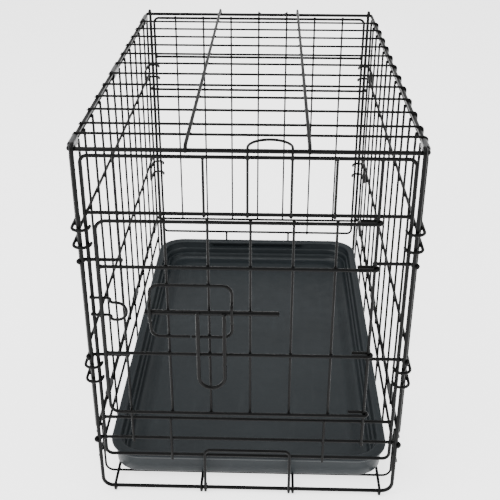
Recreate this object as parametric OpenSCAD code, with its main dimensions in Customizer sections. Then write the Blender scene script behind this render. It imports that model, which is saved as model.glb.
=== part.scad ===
// Wire dog crate, 22 inch size: folding end panels, roof, sides and base
// of welded wire, one hinged door with a slide bolt, and a pull-out tray.
// Millimetres. X is across the crate, Y runs from the door to the rear,
// Z is up. The origin is on the ground under the middle of the crate.

/* [Crate] */
// Distance between the front and rear hoops, centre to centre
crate_l = 554.8; // [540:0.2:600]
// Distance between the two upright legs of a hoop, centre to centre
crate_w = 318.8; // [312:0.2:340]
// Height of the roof wires above the ground
roof_z = 402; // [396:1:430]

/* [Wire] */
// Thickness of the hoops and the roof edge
hoop_d = 4.2; // [3.8:0.1:4.4]
// Thickness of the cross rails and the door frame
rail_d = 3.6; // [3.2:0.1:3.8]
// Thickness of the door posts, hooks, floor wires and side frames
hook_d = 3.2; // [2.8:0.1:3.4]
// Thickness of the mesh wires
mesh_d = 2.6; // [2:0.1:2.8]
// How far crossing wires sink into each other at a weld
weld = 0.1; // [0.05:0.05:0.2]
// How far a wire's cut end sinks into the wire it is welded to
butt = 0.05; // [0.05:0.01:0.06]

/* [Mesh] */
// Spacing of the upright wires in the end panels and the door
end_pitch = 40.8; // [38:0.1:42]
// Spacing of the wires along the sides and the roof
side_pitch = 42.3; // [40:0.1:43]

/* [Door] */
// Height of the door's top bar
door_top = 333.4; // [328:0.1:334]
// Height of the door's bottom bar
door_bottom = 110; // [104:0.1:112]
// Reach of the door from the middle to its free edge
door_free_x = 143.4; // [138:0.1:145]
// Clearance between a hinge eye and the door post
eye_gap = 0.1; // [0.05:0.05:0.1]
// Length of the bars' bent-back ends behind the door
eye_tail = 16.5; // [8:0.5:17]

/* [Bolt] */
// Thickness of the sliding bolt
bolt_d = 5; // [4.4:0.1:5]
// Thickness of the bolt's handle
grip_d = 4; // [3.4:0.1:4]
// Height of the bolt
bolt_z = 234.7; // [230:0.1:240]

/* [Tray] */
// Width of the tray over its rim
tray_w = 312; // [300:1:314]
// Length of the tray over its rim
tray_l = 531; // [500:1:533]
// Height of the tray
tray_h = 28.5; // [24:0.5:30]
// Thickness of the tray's walls
tray_wall = 2.5; // [2:0.1:3]

/* [Hidden] */
$fn = 32;
shift_y = 1.7;
far_y = crate_l / 2;
hoop_x = crate_w / 2;
hoop_r = hoop_d / 2;
rail_r = rail_d / 2;
hook_r = hook_d / 2;
mesh_r = mesh_d / 2;
// Hinge eyes wrap the hoops' bottom bars and touch the ground
bar_gap = 0.1;
bar_eye = hoop_r + hook_r + bar_gap;
bar_z = bar_eye + hook_r;
// Planes of the end panels, measured out from the middle
rail_y = far_y - hoop_r - rail_r - 0.02;
up_y = rail_y + rail_r + mesh_r - weld;
post_y = rail_y + rail_r + hook_r - weld;
roof_y = up_y - mesh_r - hoop_r - 0.2;
arch_bend = up_y - roof_y;
top_curl = far_y - roof_y;
mesh_x = hoop_x - 5.8;
mesh_top = roof_z - 6;
mesh_low = 47.9;
// Heights of the end panels' rails
door_head = 338.8;
door_sill = 97.7;
strip_zs = [288.5, 178];
kick_z = 70.6;
post_x = 3 * end_pitch;
hoop_corner = 11;
// Planes of the sides
side_x = hoop_x + hoop_r + hook_r + 0.3;
side_up_x = side_x - hook_r - mesh_r + weld;
side_y = far_y - 11.4;
side_top = roof_z - hoop_r - hook_r - 0.3;
side_low = 75.5;
side_rail_zs = [314.7, 186];
latch_zs = [[305.6, 323.8], [149.8, 167.4]];
latch_x = side_x + 2 * hook_r - 0.05;
latch_r = 8.275;
latch_y = far_y - 2.9;
latch_end = far_y - 33.4;
side_ys = concat([-240], [for (k = [-5:5]) k * side_pitch]);
// Base
floor_z = bar_z + bar_eye;
floor_low = floor_z - hook_r - mesh_r + weld;
flange_z = side_low - 2 * hook_r - 0.4;
flange_mid = 38;
outer_depth_x = 146;
inner_depth_x = 50.5;
floor_ys = [for (k = [-3:3]) k * 2 * side_pitch];
// Roof
cross_z = roof_z + hoop_r + mesh_r - weld;
stiff_z = cross_z + mesh_r + rail_r - weld;
stiff_x = 56;
// Door
door_y = post_y + hook_r + eye_gap + rail_r;
eye_r = door_y - post_y;
door_up_y = door_y - rail_r - mesh_r + weld;
door_off = 3;
door_rail_zs = [284.5, 184.7];
door_corner = 10;
// Bolt, guide and keeper
bolt_y = door_up_y + mesh_r + bolt_d / 2 + 0.15;
guide_y = door_up_y + mesh_r + hook_r - weld;
guide_out = bolt_y + bolt_d / 2 + hook_r + 0.2;
guide_step = (guide_out - guide_y) / 2;
guide_flat = 7.5;
guide_x = [-96, -15];
guide_zs = [205.7, 264.8];
grip_y = bolt_y + bolt_d / 2 + grip_d / 2 + 0.03;
grip_x = -35.7;
grip_half = 13.2;
keeper_d = 3;
keeper_in = rail_y + rail_r + keeper_d / 2 - weld;
keeper_out = bolt_y + bolt_d / 2 + keeper_d / 2 + 0.4;
keeper_half = 9.8;
keeper_z = bolt_z + 3;
// Tray stop
stop_x = 46;
stop_h = 51.5;
stop_lean = 5;

WIRE = "#26282a";
BAR = "#202224";
STRIP = "#4a4d50";
PLASTIC = "#363c41";

// Straight wires along each axis
module rod_x(x1, x2, y, z, d) {
    translate([x1, y, z])
        rotate([0, 90, 0])
            cylinder(h = x2 - x1, d = d);
}

module rod_y(y1, y2, x, z, d) {
    translate([x, y1, z])
        rotate([-90, 0, 0])
            cylinder(h = y2 - y1, d = d);
}

module rod_z(z1, z2, x, y, d) {
    translate([x, y, z1])
        cylinder(h = z2 - z1, d = d);
}

// Bent wires: an arc of radius r about a point, from angle a through t
module arc_xy(c, r, d, a, t) {
    translate(c)
        rotate([0, 0, a])
            rotate_extrude(angle = t)
                translate([r, 0])
                    circle(d = d);
}

module arc_xz(c, r, d, a, t) {
    translate(c)
        rotate([90, 0, 0])
            rotate([0, 0, a])
                rotate_extrude(angle = t)
                    translate([r, 0])
                        circle(d = d);
}

module arc_yz(c, r, d, a, t) {
    translate(c)
        rotate([90, 0, 90])
            rotate([0, 0, a])
                rotate_extrude(angle = t)
                    translate([r, 0])
                        circle(d = d);
}

// Closed wire loop with round corners in the XZ plane
module loop_xz(x, z1, z2, y, r, d) {
    rod_x(-x + r, x - r, y, z1, d);
    rod_x(-x + r, x - r, y, z2, d);
    rod_z(z1 + r, z2 - r, -x, y, d);
    rod_z(z1 + r, z2 - r, x, y, d);
    arc_xz([x - r, y, z2 - r], r, d, 0, 90);
    arc_xz([-x + r, y, z2 - r], r, d, 90, 90);
    arc_xz([-x + r, y, z1 + r], r, d, 180, 90);
    arc_xz([x - r, y, z1 + r], r, d, 270, 90);
}

// Closed wire loop with round corners in the YZ plane
module loop_yz(y, z1, z2, x, r, d) {
    rod_y(-y + r, y - r, x, z1, d);
    rod_y(-y + r, y - r, x, z2, d);
    rod_z(z1 + r, z2 - r, x, -y, d);
    rod_z(z1 + r, z2 - r, x, y, d);
    arc_yz([x, y - r, z2 - r], r, d, 0, 90);
    arc_yz([x, -y + r, z2 - r], r, d, 90, 90);
    arc_yz([x, -y + r, z1 + r], r, d, 180, 90);
    arc_yz([x, y - r, z1 + r], r, d, 270, 90);
}

// Everything is drawn about the crate's middle, then moved to the origin
module placed() {
    translate([0, shift_y, 0])
        children();
}

// The rear panel is the front panel turned to face the other way
module to_rear() {
    mirror([0, 1, 0])
        children();
}

// Thick outer hoop of an end panel, its tips curled over the roof bar
module hoop() {
    rod_x(-hoop_x + hoop_corner, hoop_x - hoop_corner, -far_y, bar_z, hoop_d);
    for (s = [-1, 1]) {
        rod_z(bar_z + hoop_corner, roof_z, s * hoop_x, -far_y, hoop_d);
        arc_yz([s * hoop_x, -roof_y, roof_z], top_curl, hoop_d, 0, 180);
    }
    arc_xz([-hoop_x + hoop_corner, -far_y, bar_z + hoop_corner],
        hoop_corner, hoop_d, 180, 90);
    arc_xz([hoop_x - hoop_corner, -far_y, bar_z + hoop_corner],
        hoop_corner, hoop_d, 270, 90);
}

module mesh_frame() {
    loop_xz(mesh_x, mesh_low, mesh_top, -rail_y, 7, rail_d);
}

// Stub on the mesh frame's outer face that wraps around a hoop's leg
module rail_curl(z) {
    rod_x(-hoop_x, -mesh_x - rail_r + butt, -rail_y, z, rail_d);
    arc_xy([-hoop_x, -far_y, z], far_y - rail_y, rail_d, 90, 170);
}

// Child drawn on the left and again on the right
module both_sides() {
    children();
    mirror([1, 0, 0])
        children();
}

// A rail with stubs that wrap around the hoop's legs
module curled_rail(z) {
    plain_rail(z);
    both_sides() rail_curl(z);
}

// Short rails between the door posts and the hoop's legs
module strip_rail(z) {
    both_sides() {
        rod_x(-mesh_x + rail_r - butt, -post_x + 2, -rail_y, z, rail_d);
        rail_curl(z);
    }
}

// A plain rail inside the mesh frame
module plain_rail(z) {
    reach = mesh_x - rail_r + butt;
    rod_x(-reach, reach, -rail_y, z, rail_d);
}

// Catch that reaches over the roof bar from two of the uprights
module lock_arch(foot) {
    for (k = [0, 1]) {
        rod_z(foot, roof_z, k * end_pitch, -up_y, mesh_d);
        arc_yz([k * end_pitch, -roof_y, roof_z], arch_bend, mesh_d, 90, 90);
    }
    arc_xy([end_pitch / 2, -roof_y, roof_z + arch_bend],
        end_pitch / 2, mesh_d, 0, 180);
}

module front_hoop() {
    color(BAR) placed() hoop();
}

module front_mesh_frame() {
    color(WIRE) placed() mesh_frame();
}

module front_cross_rails() {
    color(WIRE) placed() {
        plain_rail(door_head);
        plain_rail(door_sill);
        curled_rail(kick_z);
        for (z = strip_zs) {
            strip_rail(z);
        }
    }
}

module front_uprights() {
    color(WIRE) placed() {
        for (k = [-2, -1, 2]) {
            rod_z(door_head - 2, mesh_top + 2, k * end_pitch, -up_y, mesh_d);
        }
        for (s = [-1, 1]) {
            rod_z(mesh_low - 4.5, door_sill + 2,
                s * 2 * end_pitch, -up_y, mesh_d);
        }
    }
}

module front_door_posts() {
    color(WIRE) placed() {
        rod_z(kick_z - 3, mesh_top + 2, -post_x, -up_y, mesh_d);
        rod_z(kick_z - 3, mesh_top + 2, post_x, -post_y, hook_d);
    }
}

module front_lock_arch() {
    color(WIRE) placed() lock_arch(door_head - 2);
}

// U-shaped loop that the bolt slides behind
module bolt_keeper() {
    step = (keeper_out - keeper_in) / 2;
    knee_x = -139;
    out_x = knee_x + 2 * step;
    tip_x = -128;
    color(WIRE) placed() {
        for (s = [-1, 1]) {
            z = keeper_z + s * keeper_half;
            rod_x(-156, knee_x, -keeper_in, z, keeper_d);
            arc_xy([knee_x, -keeper_in - step, z], step, keeper_d, 0, 90);
            arc_xy([out_x, -keeper_in - step, z], step, keeper_d, 180, 90);
            rod_x(out_x, tip_x, -keeper_out, z, keeper_d);
        }
        arc_xz([tip_x, -keeper_out, keeper_z], keeper_half, keeper_d, -90, 180);
    }
}

module rear_hoop() {
    color(BAR) placed() to_rear() hoop();
}

module rear_mesh_frame() {
    color(WIRE) placed() to_rear() mesh_frame();
}

module rear_cross_rails() {
    color(WIRE) placed() to_rear() {
        plain_rail(door_head);
        curled_rail(kick_z);
        for (z = strip_zs) {
            curled_rail(z);
        }
    }
}

module rear_uprights() {
    color(WIRE) placed() to_rear() {
        for (k = [-3, -1, 3]) {
            rod_z(kick_z - 3, mesh_top + 2, k * end_pitch, -up_y, mesh_d);
        }
        for (k = [-2, 2]) {
            rod_z(mesh_low - 4.5, mesh_top + 2, k * end_pitch, -up_y, mesh_d);
        }
    }
}

module rear_lock_arch() {
    color(WIRE) placed() to_rear() lock_arch(kick_z - 3);
}

// Edge wire of the roof
module roof_frame() {
    r = hoop_r + 0.2;
    x = side_x;
    color(BAR) placed() {
        for (s = [-1, 1]) {
            rod_x(-x + r, x - r, s * roof_y, roof_z, hoop_d);
            rod_y(-roof_y + r, roof_y - r, s * x, roof_z, hoop_d);
        }
        arc_xy([x - r, roof_y - r, roof_z], r, hoop_d, 0, 90);
        arc_xy([-x + r, roof_y - r, roof_z], r, hoop_d, 90, 90);
        arc_xy([-x + r, -roof_y + r, roof_z], r, hoop_d, 180, 90);
        arc_xy([x - r, -roof_y + r, roof_z], r, hoop_d, 270, 90);
    }
}

// Wires across the roof; their right-hand ends hook over the side panel
module roof_cross_wires() {
    r = cross_z - roof_z;
    color(WIRE) placed() {
        for (y = side_ys) {
            rod_x(-side_x - 1.5, side_x, y, cross_z, mesh_d);
            arc_xz([side_x, y, roof_z], r, mesh_d, 0, 90);
            rod_z(side_top, roof_z, side_x + r, y, mesh_d);
            arc_xz([side_x, y, side_top], r, mesh_d, 270, 90);
        }
    }
}

// Two long wires on top of the roof with their ends bent over the edge
module roof_stiffeners() {
    r = stiff_z - roof_z;
    color(WIRE) placed() {
        for (s = [-1, 1]) {
            rod_y(-roof_y, roof_y, s * stiff_x, stiff_z, rail_d);
            arc_yz([s * stiff_x, -roof_y, roof_z], r, rail_d, 90, 90);
            arc_yz([s * stiff_x, roof_y, roof_z], r, rail_d, 0, 90);
        }
    }
}

module side_frame(s) {
    loop_yz(side_y, side_low, side_top, s * side_x, 6, hook_d);
}

module side_rails(s) {
    reach = side_y - hook_r + butt;
    for (z = side_rail_zs) {
        rod_y(-reach, reach, s * side_x, z, hook_d);
    }
}

module side_uprights(s) {
    for (y = side_ys) {
        rod_z(side_low - 1.5, side_top + 1.5, s * side_up_x, y, mesh_d);
    }
}

// One pair of prongs that reach round a hoop's leg
module latch_pair(s, zs) {
    b = 4;
    for (z = zs) {
        rod_y(-latch_y, -latch_end - b, s * latch_x, z, hook_d);
        arc_xy([s * (latch_x - latch_r), -latch_y, z],
            latch_r, hook_d, 180, 180);
        rod_y(-latch_y, -latch_y + 3, s * (latch_x - 2 * latch_r), z, hook_d);
    }
    rod_z(zs[0] + b, zs[1] - b, s * latch_x, -latch_end, hook_d);
    arc_yz([s * latch_x, -latch_end - b, zs[1] - b], b, hook_d, 0, 90);
    arc_yz([s * latch_x, -latch_end - b, zs[0] + b], b, hook_d, 270, 90);
}

module latch_hooks(s) {
    for (zs = latch_zs) {
        latch_pair(s, zs);
        to_rear() latch_pair(s, zs);
    }
}

module left_side_frame() {
    color(WIRE) placed() side_frame(-1);
}

module left_side_rails() {
    color(WIRE) placed() side_rails(-1);
}

module left_side_uprights() {
    color(WIRE) placed() side_uprights(-1);
}

module left_latch_hooks() {
    color(WIRE) placed() latch_hooks(-1);
}

module right_side_frame() {
    color(WIRE) placed() side_frame(1);
}

module right_side_rails() {
    color(WIRE) placed() side_rails(1);
}

module right_side_uprights() {
    color(WIRE) placed() side_uprights(1);
}

module right_latch_hooks() {
    color(WIRE) placed() latch_hooks(1);
}

// Eye of a floor wire, turned round the front hoop's bottom bar
module bar_curl(x) {
    arc_yz([x, -far_y, bar_z], bar_eye, hook_d, 90, 240);
}

// Long floor wires; the eyes at their ends are the end panels' hinges
module base_depth_wires() {
    rise_y = rail_y - rail_r - hook_r - 0.02;
    b = 7;
    color(WIRE) placed() {
        for (s = [-1, 1]) {
            rod_y(-far_y, far_y, s * outer_depth_x, floor_z, hook_d);
            bar_curl(s * outer_depth_x);
            to_rear() bar_curl(s * outer_depth_x);
            rod_y(-far_y, rise_y - b, s * inner_depth_x, floor_z, hook_d);
            bar_curl(s * inner_depth_x);
            arc_yz([s * inner_depth_x, rise_y - b, floor_z + b],
                b, hook_d, 270, 90);
            rod_z(floor_z + b, mesh_low + 3, s * inner_depth_x, rise_y, hook_d);
        }
    }
}

// Floor wires that turn up at both sides
module base_floor_wires() {
    b = 9;
    x = side_up_x;
    color(WIRE) placed() {
        for (y = floor_ys) {
            rod_x(-x + b, x - b, y, floor_low, mesh_d);
            arc_xz([-x + b, y, floor_low + b], b, mesh_d, 180, 90);
            arc_xz([x - b, y, floor_low + b], b, mesh_d, 270, 90);
            rod_z(floor_low + b, flange_z + 1.2, -x, y, mesh_d);
            rod_z(floor_low + b, flange_z + 1.2, x, y, mesh_d);
        }
    }
}

module base_flange_rails() {
    color(WIRE) placed() {
        for (s = [-1, 1]) {
            for (z = [flange_mid, flange_z]) {
                rod_y(-side_y - 1, side_y + 1, s * side_x, z, hook_d);
            }
        }
    }
}

// Oval outline round two circles one above the other
module oval(r, z1, z2) {
    translate([0, z1]) circle(r = r);
    translate([0, z2]) circle(r = r);
    translate([-r, z1]) square([2 * r, z2 - z1]);
}

// Steel strip bent into a sleeve round two edge wires
module clip(x, y, long, z1, z2, r_in) {
    translate([x, y + long / 2, 0])
        rotate([90, 0, 0])
            linear_extrude(height = long)
                difference() {
                    oval(r_in + 1, z1, z2);
                    oval(r_in, z1, z2);
                }
}

module upper_clip(x, y, long) {
    clip(x, y, long, side_top - 0.4, roof_z, hoop_r + 0.15);
}

module lower_clip(x, y, long) {
    clip(x, y, long, flange_z, side_low, hook_r + 0.15);
}

module upper_hinge_clips() {
    color(STRIP) placed() {
        upper_clip(-side_x, -252.5, 20);
        upper_clip(-side_x, -20, 28);
        upper_clip(-side_x, 242, 28);
        upper_clip(side_x, -252.5, 20);
    }
}

module lower_hinge_clips() {
    color(STRIP) placed() {
        for (s = [-1, 1]) {
            lower_clip(s * side_x, -190, 26);
            lower_clip(s * side_x, 21, 26);
            lower_clip(s * side_x, 236, 24);
        }
    }
}

// Rectangle with round corners, built from squares and circles
module round_rect(w, l, r) {
    square([w - 2 * r, l], center = true);
    square([w, l - 2 * r], center = true);
    for (sx = [-1, 1]) {
        for (sy = [-1, 1]) {
            translate([sx * (w / 2 - r), sy * (l / 2 - r)])
                circle(r = r);
        }
    }
}

// Pull-out pan with a flat rim
module tray() {
    rim = 5;
    z0 = floor_z + hook_r + 0.05;
    w = tray_w - 2 * rim;
    l = tray_l - 2 * rim;
    color(PLASTIC) placed()
        translate([0, -1.5, z0])
            difference() {
                union() {
                    linear_extrude(height = tray_h)
                        round_rect(w, l, 19.5);
                    translate([0, 0, tray_h - tray_wall])
                        linear_extrude(height = tray_wall)
                            round_rect(tray_w, tray_l, 31);
                }
                translate([0, 0, tray_wall])
                    linear_extrude(height = tray_h)
                        round_rect(w - 2 * tray_wall, l - 2 * tray_wall, 17);
            }
}

// Bracket that keeps the tray in; it folds down on the bottom bar
module tray_stop() {
    b = 6;
    rise = stop_h - b;
    color(WIRE) placed()
        translate([0, -far_y, bar_z])
            rotate([-stop_lean, 0, 0]) {
                for (s = [-1, 1]) {
                    arc_yz([s * stop_x, 0, 0], bar_eye, hook_d, 180, 250);
                    rod_z(0, rise, s * stop_x, -bar_eye, hook_d);
                }
                arc_xz([stop_x - b, -bar_eye, rise], b, hook_d, 0, 90);
                arc_xz([-stop_x + b, -bar_eye, rise], b, hook_d, 90, 90);
                rod_x(-stop_x + b, stop_x - b, -bar_eye, stop_h, hook_d);
            }
}

// End of a door bar: it turns round the door post and runs back behind itself
module door_eye(z) {
    arc_xy([post_x, -post_y, z], eye_r, rail_d, -90, 180);
    rod_x(post_x - eye_tail, post_x, -post_y + eye_r, z, rail_d);
}

module door_frame() {
    b = door_corner;
    x = -door_free_x;
    color(WIRE) placed() {
        rod_x(x + b, post_x, -door_y, door_top, rail_d);
        rod_x(x + b, post_x, -door_y, door_bottom, rail_d);
        rod_z(door_bottom + b, door_top - b, x, -door_y, rail_d);
        arc_xz([x + b, -door_y, door_top - b], b, rail_d, 90, 90);
        arc_xz([x + b, -door_y, door_bottom + b], b, rail_d, 180, 90);
        door_eye(door_top);
        door_eye(door_bottom);
    }
}

module door_rails() {
    color(WIRE) placed() {
        for (z = door_rail_zs) {
            rod_x(-door_free_x + rail_r - butt, post_x, -door_y, z, rail_d);
            door_eye(z);
        }
    }
}

module door_uprights() {
    color(WIRE) placed() {
        for (k = [-2:2]) {
            rod_z(door_bottom - 2, door_top + 2,
                door_off + k * end_pitch, -door_up_y, mesh_d);
        }
    }
}

// One upright side of the guide, bowed out over the bolt
module guide_side(x) {
    r = guide_step;
    in_y = -guide_y - r;
    out_y = -guide_out + r;
    top = bolt_z + guide_flat;
    low = bolt_z - guide_flat;
    rod_z(low, top, x, -guide_out, hook_d);
    arc_yz([x, out_y, top], r, hook_d, 90, 90);
    arc_yz([x, in_y, top + 2 * r], r, hook_d, 270, 90);
    arc_yz([x, out_y, low], r, hook_d, 180, 90);
    arc_yz([x, in_y, low - 2 * r], r, hook_d, 0, 90);
}

// Wire loop welded to the door that holds the bolt
module bolt_guide() {
    b = 9;
    bow = guide_flat + 2 * guide_step;
    x1 = guide_x[0];
    x2 = guide_x[1];
    z1 = guide_zs[0];
    z2 = guide_zs[1];
    color(WIRE) placed() {
        rod_x(x1 + b, x2 - b, -guide_y, z2, hook_d);
        rod_x(x1 + b, -57, -guide_y, z1, hook_d);
        rod_x(-55.6, x2 - b, -guide_y, z1, hook_d);
        arc_xz([x2 - b, -guide_y, z2 - b], b, hook_d, 0, 90);
        arc_xz([x1 + b, -guide_y, z2 - b], b, hook_d, 90, 90);
        arc_xz([x1 + b, -guide_y, z1 + b], b, hook_d, 180, 90);
        arc_xz([x2 - b, -guide_y, z1 + b], b, hook_d, 270, 90);
        for (x = guide_x) {
            guide_side(x);
            rod_z(bolt_z + bow, z2 - b, x, -guide_y, hook_d);
            rod_z(z1 + b, bolt_z - bow, x, -guide_y, hook_d);
        }
    }
}

module slide_bolt() {
    color(BAR) placed()
        rod_x(-101.5, 31.8, -bolt_y, bolt_z, bolt_d);
}

// U-shaped grip; its legs cross the front of the bolt
module bolt_handle() {
    low = 160.5;
    color(BAR) placed() {
        rod_z(low, bolt_z + 2.5, grip_x - grip_half, -grip_y, grip_d);
        rod_z(low, bolt_z + 1, grip_x + grip_half, -grip_y, grip_d);
        arc_xz([grip_x, -grip_y, low], grip_half, grip_d, 180, 180);
    }
}

front_hoop();
front_mesh_frame();
front_cross_rails();
front_uprights();
front_door_posts();
front_lock_arch();
bolt_keeper();
rear_hoop();
rear_mesh_frame();
rear_cross_rails();
rear_uprights();
rear_lock_arch();
roof_frame();
roof_cross_wires();
roof_stiffeners();
left_side_frame();
left_side_rails();
left_side_uprights();
left_latch_hooks();
right_side_frame();
right_side_rails();
right_side_uprights();
right_latch_hooks();
base_depth_wires();
base_floor_wires();
base_flange_rails();
upper_hinge_clips();
lower_hinge_clips();
tray();
tray_stop();
door_frame();
door_rails();
door_uprights();
bolt_guide();
slide_bolt();
bolt_handle();
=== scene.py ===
import math

import bpy
from mathutils import Matrix, Vector


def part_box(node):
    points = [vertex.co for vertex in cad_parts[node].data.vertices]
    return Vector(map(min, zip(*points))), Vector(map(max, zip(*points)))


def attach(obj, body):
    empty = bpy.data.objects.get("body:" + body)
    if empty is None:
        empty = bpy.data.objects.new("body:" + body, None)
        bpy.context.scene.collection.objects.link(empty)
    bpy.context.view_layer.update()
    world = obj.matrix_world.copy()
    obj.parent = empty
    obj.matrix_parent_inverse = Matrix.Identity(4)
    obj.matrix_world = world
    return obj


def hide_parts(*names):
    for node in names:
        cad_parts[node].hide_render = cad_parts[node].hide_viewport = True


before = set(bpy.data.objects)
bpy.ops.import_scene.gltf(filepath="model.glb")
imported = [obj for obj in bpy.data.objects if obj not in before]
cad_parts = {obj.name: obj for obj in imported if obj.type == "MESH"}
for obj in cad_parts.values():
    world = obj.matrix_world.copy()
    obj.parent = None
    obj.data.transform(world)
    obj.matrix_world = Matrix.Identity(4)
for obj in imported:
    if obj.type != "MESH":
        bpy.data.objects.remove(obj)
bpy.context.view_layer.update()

# ---------------------------------------------------------------- sizes
# Lengths are in millimetres about the crate's middle, as the parts are drawn;
# to_frame turns them into metres in the frame.
MM = 0.001
WIRE_SIDES = 14
BAR_SIDES = 16
BOLT_SIDES = 20
GRIP_SIDES = 18


def middle(node):
    """Middle of a CAD node's box, in millimetres."""
    low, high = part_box(node)
    return [(a + b) / 2 / MM for a, b in zip(low, high)]


def span(node, axis):
    """Length of a CAD node's box along an axis, in millimetres."""
    low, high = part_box(node)
    return (high[axis] - low[axis]) / MM


def edge(node, axis, side):
    """Lowest (0) or highest (1) coordinate of a CAD node, in millimetres."""
    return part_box(node)[side][axis] / MM


SHIFT_Y = middle("roof_frame")[1]

# Wire radii
HOOP_R = span("roof_frame", 2) / 2
RAIL_R = span("front_mesh_frame", 1) / 2
HOOK_R = span("left_side_frame", 0) / 2
MESH_R = span("door_uprights", 1) / 2

# How wires meet: sunk at a weld and at a cut end, or just clear of each other
WELD = 0.1
SINK = 0.2
PLAY = 0.2
HAIR = 0.02
EYE_PLAY = 0.1
KEEPER_PLAY = 0.4

# How far a wire stands past the last one that it crosses
STUB = 2.0
SIDE_STUB = 1.5
POST_STUB = 3.0
FOOT_STUB = 4.5
FLANGE_STUB = 1.2
FLANGE_OVER = 1.0

# Weld beads: half sizes in wire radii, and places on a curled rail
BEAD_SPREAD = 1.55
BEAD_HEIGHT = 0.62
BEAD_SIDES = 10
BEAD_ROWS = 6
BEAD_IN = 0.2
BEAD_DEEP = 0.4

# Bend radii of the wire frames
MESH_CORNER = 7.0
SIDE_CORNER = 6.0
LATCH_CORNER = 4.0
RISE_CORNER = 7.0
FLOOR_CORNER = 9.0
STOP_CORNER = 6.0
DOOR_CORNER = 10.0
GUIDE_ROUND = 9.0

# End panels
HOOP_X = span("front_hoop", 0) / 2 - HOOP_R
FAR_Y = -(edge("front_hoop", 1, 0) - SHIFT_Y) - HOOP_R
BAR_Z = edge("front_hoop", 2, 0) + HOOP_R
RAIL_Y = FAR_Y - HOOP_R - RAIL_R - HAIR
UP_Y = RAIL_Y + RAIL_R + MESH_R - WELD
POST_Y = RAIL_Y + RAIL_R + HOOK_R - WELD
ROOF_Y = UP_Y - MESH_R - HOOP_R - PLAY
ROOF_Z = middle("roof_frame")[2]
ARCH_BEND = UP_Y - ROOF_Y
MESH_X = span("front_mesh_frame", 0) / 2 - RAIL_R
MESH_TOP = edge("front_mesh_frame", 2, 1) - RAIL_R
MESH_LOW = edge("front_mesh_frame", 2, 0) + RAIL_R
DOOR_HEAD = 338.8
DOOR_SILL = 97.7
STRIP_ZS = (288.5, 178.0)
KICK_Z = 70.6
END_PITCH = 40.8
POST_X = 3 * END_PITCH
HOOP_CORNER = 11.0
ROOF_CORNER = HOOP_R + 0.2

# Sides and roof
SIDE_X = middle("right_side_frame")[0]
SIDE_UP_X = SIDE_X - HOOK_R - MESH_R + WELD
SIDE_Y = span("left_side_frame", 1) / 2 - HOOK_R
SIDE_TOP = edge("left_side_frame", 2, 1) - HOOK_R
SIDE_LOW = edge("left_side_frame", 2, 0) + HOOK_R
SIDE_RAIL_ZS = (314.7, 186.0)
SIDE_PITCH = 42.3
SIDE_YS = [-240.0] + [k * SIDE_PITCH for k in range(-5, 6)]
CROSS_Z = ROOF_Z + HOOP_R + MESH_R - WELD
STIFF_Z = CROSS_Z + MESH_R + RAIL_R - WELD
STIFF_X = 56.0

# Base
BAR_EYE = BAR_Z - HOOK_R
FLOOR_Z = BAR_Z + BAR_EYE
FLOOR_LOW = FLOOR_Z - HOOK_R - MESH_R + WELD
FLANGE_Z = edge("base_flange_rails", 2, 1) - HOOK_R
FLANGE_MID = edge("base_flange_rails", 2, 0) + HOOK_R
OUTER_DEPTH_X = span("base_depth_wires", 0) / 2 - HOOK_R
INNER_DEPTH_X = 50.5
FLOOR_YS = [2 * k * SIDE_PITCH for k in range(-3, 4)]

# Door, guide, bolt and keeper
DOOR_Y = POST_Y + HOOK_R + EYE_PLAY + RAIL_R
DOOR_UP_Y = DOOR_Y - RAIL_R - MESH_R + WELD
DOOR_TOP = edge("door_frame", 2, 1) - RAIL_R
DOOR_BOTTOM = edge("door_frame", 2, 0) + RAIL_R
DOOR_FREE_X = -edge("door_frame", 0, 0) - RAIL_R
DOOR_RAIL_ZS = (284.5, 184.7)
EYE_TAIL = 16.5
DOOR_OFF = 3.0
BOLT_R = span("slide_bolt", 2) / 2
BOLT_Z = middle("slide_bolt")[2]
BOLT_Y = SHIFT_Y - middle("slide_bolt")[1]
GRIP_R = span("bolt_handle", 1) / 2
GRIP_Y = SHIFT_Y - middle("bolt_handle")[1]
GRIP_X = middle("bolt_handle")[0]
GRIP_HALF = span("bolt_handle", 0) / 2 - GRIP_R
KEEPER_WIDE = 19.6
KEEPER_R = (span("bolt_keeper", 2) - KEEPER_WIDE) / 2
KEEPER_Z = middle("bolt_keeper")[2]
KEEPER_LEG = 17.0


def to_frame(p):
    """Point in the crate's own millimetres to metres in the frame."""
    return Vector((p[0] * MM, (p[1] + SHIFT_Y) * MM, p[2] * MM))


# ---------------------------------------------------------------- paths
def rounded(corners, radius, steps=7, closed=False):
    """Polyline through the corners, each turned into an arc."""
    pts = [Vector(c) for c in corners]
    count = len(pts)
    out = []
    for i, p in enumerate(pts):
        if not closed and i in (0, count - 1):
            out.append(p)
            continue
        back = (pts[i - 1] - p).normalized()
        on = (pts[(i + 1) % count] - p).normalized()
        half = back.angle(on) / 2
        reach = radius / math.tan(half)
        centre = p + (back + on).normalized() * (radius / math.sin(half))
        start = p + back * reach - centre
        turn = math.pi - 2 * half
        side = (p + on * reach - centre)
        normal = start.cross(side).normalized()
        for k in range(steps + 1):
            spin = Matrix.Rotation(turn * k / steps, 3, normal)
            out.append(centre + spin @ start)
    return out


def arc(plane, centre, radius, start, sweep, steps=None):
    """Points of an arc in the XY, XZ or YZ plane, angles in degrees."""
    first, second = {"xy": (0, 1), "xz": (0, 2), "yz": (1, 2)}[plane]
    steps = steps or max(4, int(abs(sweep) / 12))
    out = []
    for k in range(steps + 1):
        a = math.radians(start + sweep * k / steps)
        p = Vector(centre)
        p[first] += radius * math.cos(a)
        p[second] += radius * math.sin(a)
        out.append(p)
    return out


def chain(*parts):
    """Joins point lists into one path, without repeated points."""
    out = []
    for part in parts:
        for p in part:
            p = Vector(p)
            if not out or (out[-1] - p).length > 1e-4:
                out.append(p)
    return out


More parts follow.
